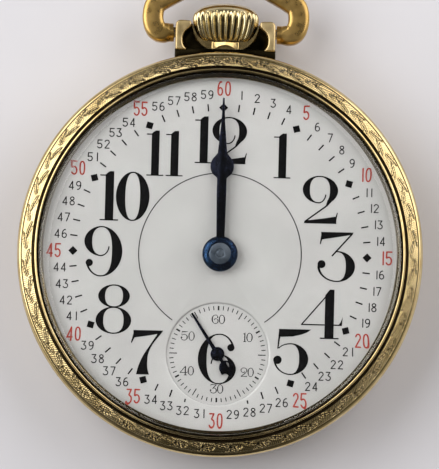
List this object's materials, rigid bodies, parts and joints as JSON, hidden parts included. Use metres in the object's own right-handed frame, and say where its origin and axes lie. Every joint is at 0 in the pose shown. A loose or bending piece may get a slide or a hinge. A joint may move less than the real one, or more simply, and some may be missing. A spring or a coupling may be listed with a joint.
{
  "type": "open face pocket watch",
  "caption": "Open face pocket watch: round gold-toned screw case with engraved bezel, white enamel dial, sunk seconds dial, fluted crown and stirrup bow.",
  "frame": {"origin": "on the centre wheel's axis, at the flat middle of the back cover, which is the face the watch rests on", "axes": "+Z out of the dial, +Y towards the pendant and 12 o'clock, +X towards 3 o'clock"},
  "size_m": [0.0506, 0.0621, 0.0132],
  "materials": {
    "gold_case": "polished yellow gold-filled case metal with an engraved band",
    "crystal_glass": "clear polished watch crystal",
    "nickel_plate": "nickel plate with striped damaskeening",
    "polished_steel": "bright polished steel",
    "blued_steel": "fire-blued steel, nearly black at rest",
    "brass_wheel": "gilt brass, finely grained",
    "white_enamel": "fired white enamel with printed black and red numerals"
  },
  "bodies": {
    "case": {"case_center": "gold_case", "pendant": "gold_case", "pendant_sleeve": "polished_steel", "bow_pin_left": "polished_steel", "bow_pin_right": "polished_steel", "case_screw_1": "polished_steel", "case_screw_2": "polished_steel", "main_plate": "nickel_plate", "barrel_bridge": "nickel_plate", "train_bridge": "nickel_plate", "balance_cock": "nickel_plate", "pallet_bridge": "nickel_plate", "barrel_bridge_screw_1": "blued_steel", "barrel_bridge_screw_2": "blued_steel", "barrel_bridge_screw_3": "blued_steel", "train_bridge_screw_1": "blued_steel", "train_bridge_screw_2": "blued_steel", "train_bridge_screw_3": "blued_steel", "cock_screw": "blued_steel", "crown_wheel_core": "polished_steel", "click_spring": "polished_steel", "dial": "white_enamel", "seconds_dial": "white_enamel"},
    "bezel": {"bezel": "gold_case", "crystal": "crystal_glass"},
    "back_cover": {"back_cover": "gold_case"},
    "bow": {"bow": "gold_case"},
    "winding_pinion": {"winding_pinion": "polished_steel"},
    "crown": {"crown": "gold_case", "winding_stem": "polished_steel"},
    "clutch": {"clutch_wheel": "polished_steel"},
    "setting_lever": {"setting_lever": "polished_steel"},
    "crown_wheel": {"crown_wheel": "polished_steel"},
    "ratchet": {"ratchet_wheel": "polished_steel", "ratchet_screw": "blued_steel", "barrel_arbor": "polished_steel"},
    "click": {"click": "polished_steel"},
    "barrel": {"mainspring_barrel": "brass_wheel", "barrel_cover": "brass_wheel", "mainspring": "polished_steel"},
    "centre": {"centre_wheel": "brass_wheel", "centre_arbor": "polished_steel"},
    "third": {"third_wheel": "brass_wheel", "third_arbor": "polished_steel"},
    "fourth": {"fourth_wheel": "brass_wheel", "fourth_arbor": "polished_steel", "seconds_hand": "blued_steel"},
    "escape": {"escape_wheel": "brass_wheel", "escape_arbor": "polished_steel"},
    "pallet": {"pallet_fork": "polished_steel", "pallet_arbor": "polished_steel"},
    "balance": {"balance_wheel": "brass_wheel", "balance_staff": "polished_steel", "hairspring": "blued_steel"},
    "regulator": {"regulator": "polished_steel"},
    "minute": {"minute_hand": "blued_steel", "cannon_pinion": "polished_steel"},
    "minute_wheel": {"minute_wheel": "polished_steel"},
    "hour": {"hour_hand": "blued_steel", "hour_wheel": "brass_wheel"}
  },
  "joints": [
    {"name": "bezel_unscrew", "type": "slide", "parent": "case", "child": "bezel", "axis": [0, 0, 1], "range_m": [0, 0.012]},
    {"name": "back_unscrew", "type": "slide", "parent": "case", "child": "back_cover", "axis": [0, 0, -1], "range_m": [0, 0.012]},
    {"name": "bow_swing", "type": "hinge", "parent": "case", "child": "bow", "pos_m": [0, 0.02805, 0.0058], "axis": [1, 0, 0], "range_deg": [-95, 95]},
    {"name": "crown_wind", "type": "hinge", "parent": "case", "child": "winding_pinion", "pos_m": [0, 0.0142, 0.0058], "axis": [0, 1, 0], "continuous": true},
    {"name": "crown_pull", "type": "slide", "parent": "winding_pinion", "child": "crown", "axis": [0, 1, 0], "range_m": [0, 0.0012]},
    {"name": "clutch_shift", "type": "slide", "parent": "winding_pinion", "child": "clutch", "axis": [0, -1, 0], "range_m": [0, 0.0008]},
    {"name": "setting_lever_swing", "type": "hinge", "parent": "case", "child": "setting_lever", "pos_m": [0.0046, 0.0166, 0.0085], "axis": [0, 0, 1], "range_deg": [-22, 2]},
    {"name": "crown_wheel_turn", "type": "hinge", "parent": "case", "child": "crown_wheel", "pos_m": [0, 0.0111, 0.003], "axis": [0, 0, 1], "continuous": true},
    {"name": "ratchet_turn", "type": "hinge", "parent": "case", "child": "ratchet", "pos_m": [-0.00857, 0.00495, 0.003], "axis": [0, 0, 1], "continuous": true},
    {"name": "click_lift", "type": "hinge", "parent": "case", "child": "click", "pos_m": [-0.01614, 0.00142, 0.003], "axis": [0, 0, 1], "range_deg": [-12, 0]},
    {"name": "train_run", "type": "hinge", "parent": "case", "child": "fourth", "pos_m": [0, -0.0124, 0.0065], "axis": [0, 0, 1], "continuous": true},
    {"name": "barrel_turn", "type": "hinge", "parent": "case", "child": "barrel", "pos_m": [-0.00857, 0.00495, 0.0055], "axis": [0, 0, 1], "continuous": true},
    {"name": "centre_turn", "type": "hinge", "parent": "case", "child": "centre", "pos_m": [0, 0, 0.0065], "axis": [0, 0, 1], "continuous": true},
    {"name": "third_turn", "type": "hinge", "parent": "case", "child": "third", "pos_m": [-0.00449, -0.00674, 0.0065], "axis": [0, 0, 1], "continuous": true},
    {"name": "escape_turn", "type": "hinge", "parent": "case", "child": "escape", "pos_m": [0.00496, -0.01059, 0.0065], "axis": [0, 0, 1], "continuous": true},
    {"name": "pallet_rock", "type": "hinge", "parent": "case", "child": "pallet", "pos_m": [0.00742, -0.00839, 0.0065], "axis": [0, 0, 1], "range_deg": [-4, 4]},
    {"name": "balance_swing", "type": "hinge", "parent": "case", "child": "balance", "pos_m": [0.01069, -0.00545, 0.0049], "axis": [0, 0, 1], "range_deg": [-270, 270]},
    {"name": "regulator_set", "type": "hinge", "parent": "case", "child": "regulator", "pos_m": [0.01069, -0.00545, 0.0027], "axis": [0, 0, 1], "range_deg": [-12, 12]},
    {"name": "hand_setting", "type": "hinge", "parent": "centre", "child": "minute", "pos_m": [0, 0, 0.0113], "axis": [0, 0, 1], "continuous": true},
    {"name": "minute_wheel_turn", "type": "hinge", "parent": "case", "child": "minute_wheel", "pos_m": [0.00225, 0.00424, 0.0086], "axis": [0, 0, 1], "continuous": true},
    {"name": "hour_turn", "type": "hinge", "parent": "case", "child": "hour", "pos_m": [0, 0, 0.0109], "axis": [0, 0, 1], "continuous": true}
  ],
  "couplings": [
    {"joint": "clutch_shift", "follows": "crown_pull", "ratio": 0.66667},
    {"joint": "setting_lever_swing", "follows": "crown_pull", "rad_per_m": -290.89},
    {"joint": "crown_wheel_turn", "follows": "crown_wind", "ratio": 0.54545},
    {"joint": "ratchet_turn", "follows": "crown_wind", "ratio": -0.31169},
    {"joint": "escape_turn", "follows": "train_run", "ratio": -10},
    {"joint": "third_turn", "follows": "train_run", "ratio": -0.13333},
    {"joint": "centre_turn", "follows": "train_run", "ratio": 0.016667},
    {"joint": "barrel_turn", "follows": "train_run", "ratio": -0.0025641},
    {"joint": "minute_wheel_turn", "follows": "hand_setting", "ratio": -0.33333},
    {"joint": "hour_turn", "follows": "hand_setting", "ratio": 0.083333}
  ]
}
